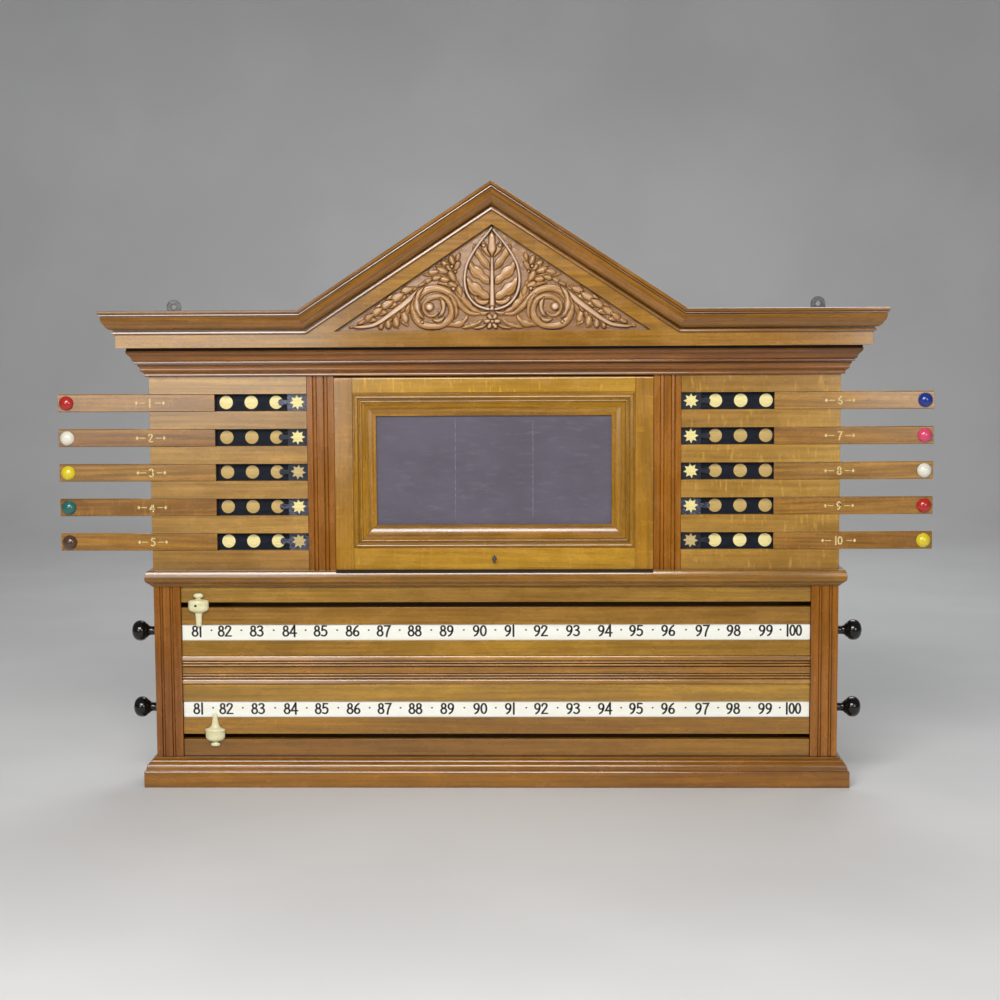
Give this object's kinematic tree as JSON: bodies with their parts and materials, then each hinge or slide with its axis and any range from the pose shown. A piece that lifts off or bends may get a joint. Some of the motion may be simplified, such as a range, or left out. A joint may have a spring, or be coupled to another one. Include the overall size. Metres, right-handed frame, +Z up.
{
  "type": "billiard scoreboard",
  "caption": "Wall-hung oak billiard scoreboard: sliding life bars, a slate on a lift-up flap, turning number rollers with sliding pointers, under a carved pediment.",
  "frame": {"origin": "middle of the outer box at the level of the plinth's underside", "axes": "+X to the right as seen from the front, +Y from the front towards the wall, +Z up"},
  "size_m": [1.293, 0.154, 0.8952],
  "materials": {
    "polished_oak": "shellac-polished quartered oak",
    "plain_oak": "oiled inner board",
    "carved_oak": "waxed carved oak",
    "slide_oak": "polished oak bar with a glossy finger button",
    "ebonised_tablet": "black stained with a pale inlaid star",
    "ivorine": "cream celluloid strips with painted numbers",
    "ebony": "gloss black turned wood",
    "slate": "dull grey writing slate",
    "brass": "plain brass rod",
    "dull_iron": "dull grey iron"
  },
  "bodies": {
    "case": {"case_side_left": "polished_oak", "case_side_right": "polished_oak", "back_board": "plain_oak", "top_board": "plain_oak", "front_top_rail": "polished_oak", "waist_shelf": "plain_oak", "bottom_board": "plain_oak", "cupboard_side_left": "plain_oak", "cupboard_side_right": "plain_oak", "life_board_left": "polished_oak", "life_board_right": "polished_oak", "upper_pilaster_left": "polished_oak", "upper_pilaster_right": "polished_oak", "lower_pilaster_left": "polished_oak", "lower_pilaster_right": "polished_oak", "door_pivot_left": "brass", "door_pivot_right": "brass", "score_board_upper": "polished_oak", "score_board_lower": "polished_oak", "reeded_rail": "polished_oak", "plinth_moulding": "polished_oak", "waist_moulding": "polished_oak", "bed_moulding": "polished_oak", "crown_moulding": "polished_oak", "pediment_board": "polished_oak", "carved_panel": "carved_oak", "hanging_plate_left": "dull_iron", "hanging_plate_right": "dull_iron"},
    "door": {"door_frame": "polished_oak", "slate_moulding": "polished_oak", "slate_panel": "slate", "door_pull": "dull_iron"},
    "roller_upper": {"number_roller_upper": "ivorine", "knob_upper_left": "ebony", "knob_upper_right": "ebony"},
    "roller_lower": {"number_roller_lower": "ivorine", "knob_lower_left": "ebony", "knob_lower_right": "ebony"},
    "pointer_upper": {"pointer_upper": "ivorine"},
    "pointer_lower": {"pointer_lower": "ivorine"},
    "slide_1": {"life_slide_1": "slide_oak"},
    "tablet_1": {"star_tablet_1": "ebonised_tablet"},
    "slide_2": {"life_slide_2": "slide_oak"},
    "tablet_2": {"star_tablet_2": "ebonised_tablet"},
    "slide_3": {"life_slide_3": "slide_oak"},
    "tablet_3": {"star_tablet_3": "ebonised_tablet"},
    "slide_4": {"life_slide_4": "slide_oak"},
    "tablet_4": {"star_tablet_4": "ebonised_tablet"},
    "slide_5": {"life_slide_5": "slide_oak"},
    "tablet_5": {"star_tablet_5": "ebonised_tablet"},
    "slide_6": {"life_slide_6": "slide_oak"},
    "tablet_6": {"star_tablet_6": "ebonised_tablet"},
    "slide_7": {"life_slide_7": "slide_oak"},
    "tablet_7": {"star_tablet_7": "ebonised_tablet"},
    "slide_8": {"life_slide_8": "slide_oak"},
    "tablet_8": {"star_tablet_8": "ebonised_tablet"},
    "slide_9": {"life_slide_9": "slide_oak"},
    "tablet_9": {"star_tablet_9": "ebonised_tablet"},
    "slide_10": {"life_slide_10": "slide_oak"},
    "tablet_10": {"star_tablet_10": "ebonised_tablet"}
  },
  "joints": [
    {"name": "door_swing", "type": "hinge", "parent": "case", "child": "door", "pos_m": [0, -0.009, 0.6049], "axis": [-1, 0, 0], "range_deg": [0, 90]},
    {"name": "roller_upper_turn", "type": "hinge", "parent": "case", "child": "roller_upper", "pos_m": [0, 0.0113, 0.2317], "axis": [1, 0, 0], "continuous": true},
    {"name": "roller_lower_turn", "type": "hinge", "parent": "case", "child": "roller_lower", "pos_m": [0, 0.0113, 0.1149], "axis": [1, 0, 0], "continuous": true},
    {"name": "pointer_upper_slide", "type": "slide", "parent": "case", "child": "pointer_upper", "axis": [1, 0, 0], "range_m": [-0.01, 0.897]},
    {"name": "pointer_lower_slide", "type": "slide", "parent": "case", "child": "pointer_lower", "axis": [1, 0, 0], "range_m": [-0.0315, 0.8755]},
    {"name": "life_slide_1_push", "type": "slide", "parent": "case", "child": "slide_1", "axis": [1, 0, 0], "range_m": [0, 0.1365]},
    {"name": "star_tablet_1_push", "type": "slide", "parent": "case", "child": "tablet_1", "axis": [1, 0, 0], "range_m": [0, 0.029]},
    {"name": "life_slide_2_push", "type": "slide", "parent": "case", "child": "slide_2", "axis": [1, 0, 0], "range_m": [0, 0.1365]},
    {"name": "star_tablet_2_push", "type": "slide", "parent": "case", "child": "tablet_2", "axis": [1, 0, 0], "range_m": [0, 0.029]},
    {"name": "life_slide_3_push", "type": "slide", "parent": "case", "child": "slide_3", "axis": [1, 0, 0], "range_m": [0, 0.1365]},
    {"name": "star_tablet_3_push", "type": "slide", "parent": "case", "child": "tablet_3", "axis": [1, 0, 0], "range_m": [0, 0.029]},
    {"name": "life_slide_4_push", "type": "slide", "parent": "case", "child": "slide_4", "axis": [1, 0, 0], "range_m": [0, 0.1365]},
    {"name": "star_tablet_4_push", "type": "slide", "parent": "case", "child": "tablet_4", "axis": [1, 0, 0], "range_m": [0, 0.029]},
    {"name": "life_slide_5_push", "type": "slide", "parent": "case", "child": "slide_5", "axis": [1, 0, 0], "range_m": [0, 0.1365]},
    {"name": "star_tablet_5_push", "type": "slide", "parent": "case", "child": "tablet_5", "axis": [1, 0, 0], "range_m": [0, 0.029]},
    {"name": "life_slide_6_push", "type": "slide", "parent": "case", "child": "slide_6", "axis": [-1, 0, 0], "range_m": [0, 0.1365]},
    {"name": "star_tablet_6_push", "type": "slide", "parent": "case", "child": "tablet_6", "axis": [-1, 0, 0], "range_m": [0, 0.029]},
    {"name": "life_slide_7_push", "type": "slide", "parent": "case", "child": "slide_7", "axis": [-1, 0, 0], "range_m": [0, 0.1365]},
    {"name": "star_tablet_7_push", "type": "slide", "parent": "case", "child": "tablet_7", "axis": [-1, 0, 0], "range_m": [0, 0.029]},
    {"name": "life_slide_8_push", "type": "slide", "parent": "case", "child": "slide_8", "axis": [-1, 0, 0], "range_m": [0, 0.1365]},
    {"name": "star_tablet_8_push", "type": "slide", "parent": "case", "child": "tablet_8", "axis": [-1, 0, 0], "range_m": [0, 0.029]},
    {"name": "life_slide_9_push", "type": "slide", "parent": "case", "child": "slide_9", "axis": [-1, 0, 0], "range_m": [0, 0.1365]},
    {"name": "star_tablet_9_push", "type": "slide", "parent": "case", "child": "tablet_9", "axis": [-1, 0, 0], "range_m": [0, 0.029]},
    {"name": "life_slide_10_push", "type": "slide", "parent": "case", "child": "slide_10", "axis": [-1, 0, 0], "range_m": [0, 0.1365]},
    {"name": "star_tablet_10_push", "type": "slide", "parent": "case", "child": "tablet_10", "axis": [-1, 0, 0], "range_m": [0, 0.029]}
  ]
}
